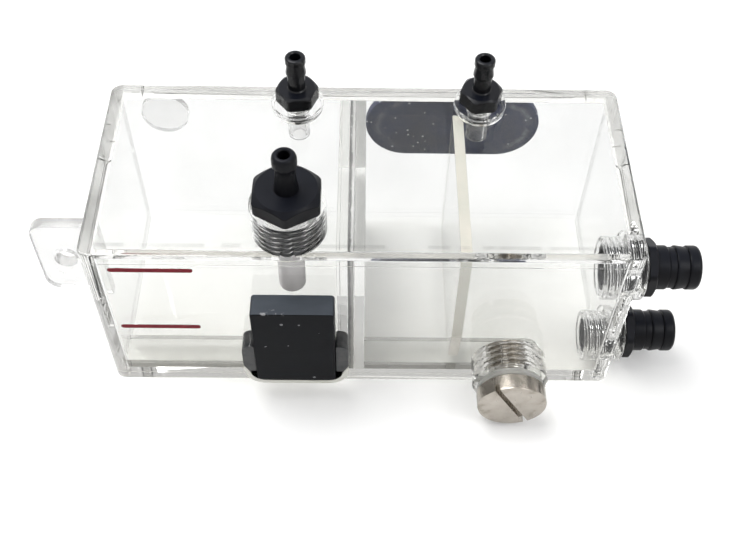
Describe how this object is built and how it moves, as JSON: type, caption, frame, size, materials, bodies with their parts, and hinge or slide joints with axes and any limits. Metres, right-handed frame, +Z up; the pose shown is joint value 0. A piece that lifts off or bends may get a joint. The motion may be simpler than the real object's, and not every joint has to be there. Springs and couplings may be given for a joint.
{
  "type": "water tank",
  "caption": "Small clear acrylic water tank with separate chambers, hose barbs on the lid and one end, level marks, a level sensor block and a screwed drain plug.",
  "frame": {"origin": "centre of the tank box's underside", "axes": "+Z up, -Y out of the front wall with the level marks and the drain, +X towards the two hose barbs on the end wall"},
  "size_m": [0.148, 0.0668, 0.0702],
  "materials": {
    "clear_acrylic": "clear polished sheet with yellowish cut edges",
    "smoked_acrylic": "smoked clear sheet, glossy",
    "cement_film": "cured acrylic cement with small bubbles",
    "black_nylon": "satin moulded",
    "silicone": "translucent matte",
    "milky_tube": "milky translucent",
    "red_paint": "filled groove",
    "sensor_black": "cast resin, fine matte",
    "pad_foam": "closed-cell foam, matte",
    "nickel_plate": "nickel plated, lightly worn"
  },
  "bodies": {
    "tank": {"bottom_plate": "clear_acrylic", "lid": "clear_acrylic", "front_wall": "clear_acrylic", "back_wall": "clear_acrylic", "left_wall": "clear_acrylic", "right_wall": "clear_acrylic", "partition_left": "clear_acrylic", "partition_right": "clear_acrylic", "baffle_plate": "clear_acrylic", "floor_strip_left": "clear_acrylic", "floor_strip_right": "clear_acrylic", "mounting_ear": "clear_acrylic", "lid_port_collar_front": "clear_acrylic", "lid_port_collar_rear_left": "clear_acrylic", "lid_port_collar_rear_right": "clear_acrylic", "side_port_bushing_upper": "clear_acrylic", "side_port_bushing_lower": "clear_acrylic", "drain_collar": "clear_acrylic", "fitting_front": "black_nylon", "fitting_rear_left": "black_nylon", "fitting_rear_right": "black_nylon", "hose_barb_upper": "black_nylon", "hose_barb_lower": "black_nylon", "gasket_front": "silicone", "gasket_rear_left": "silicone", "gasket_rear_right": "silicone", "gasket_side_upper": "silicone", "gasket_side_lower": "silicone", "dip_tube_front": "milky_tube", "dip_tube_rear_left": "milky_tube", "dip_tube_rear_right": "milky_tube", "level_mark_upper": "red_paint", "level_mark_lower": "red_paint", "sensor_block": "sensor_black", "sensor_cradle": "smoked_acrylic", "rear_pad": "pad_foam", "blanking_disc": "clear_acrylic", "partition_film": "cement_film"},
    "drain_seal_ring": {"drain_seal": "silicone"},
    "drain_plug": {"drain_screw": "nickel_plate"}
  },
  "joints": [
    {"name": "drain_slide", "type": "slide", "parent": "tank", "child": "drain_seal_ring", "axis": [0, -1, 0], "range_m": [0, 0.0075]},
    {"name": "drain_turn", "type": "hinge", "parent": "drain_seal_ring", "child": "drain_plug", "pos_m": [0.0346, -0.0344, 0.0092], "axis": [0, -1, 0], "range_deg": [0, 1800]}
  ],
  "couplings": [
    {"joint": "drain_slide", "follows": "drain_turn", "m_per_rad": 0.00023873}
  ]
}
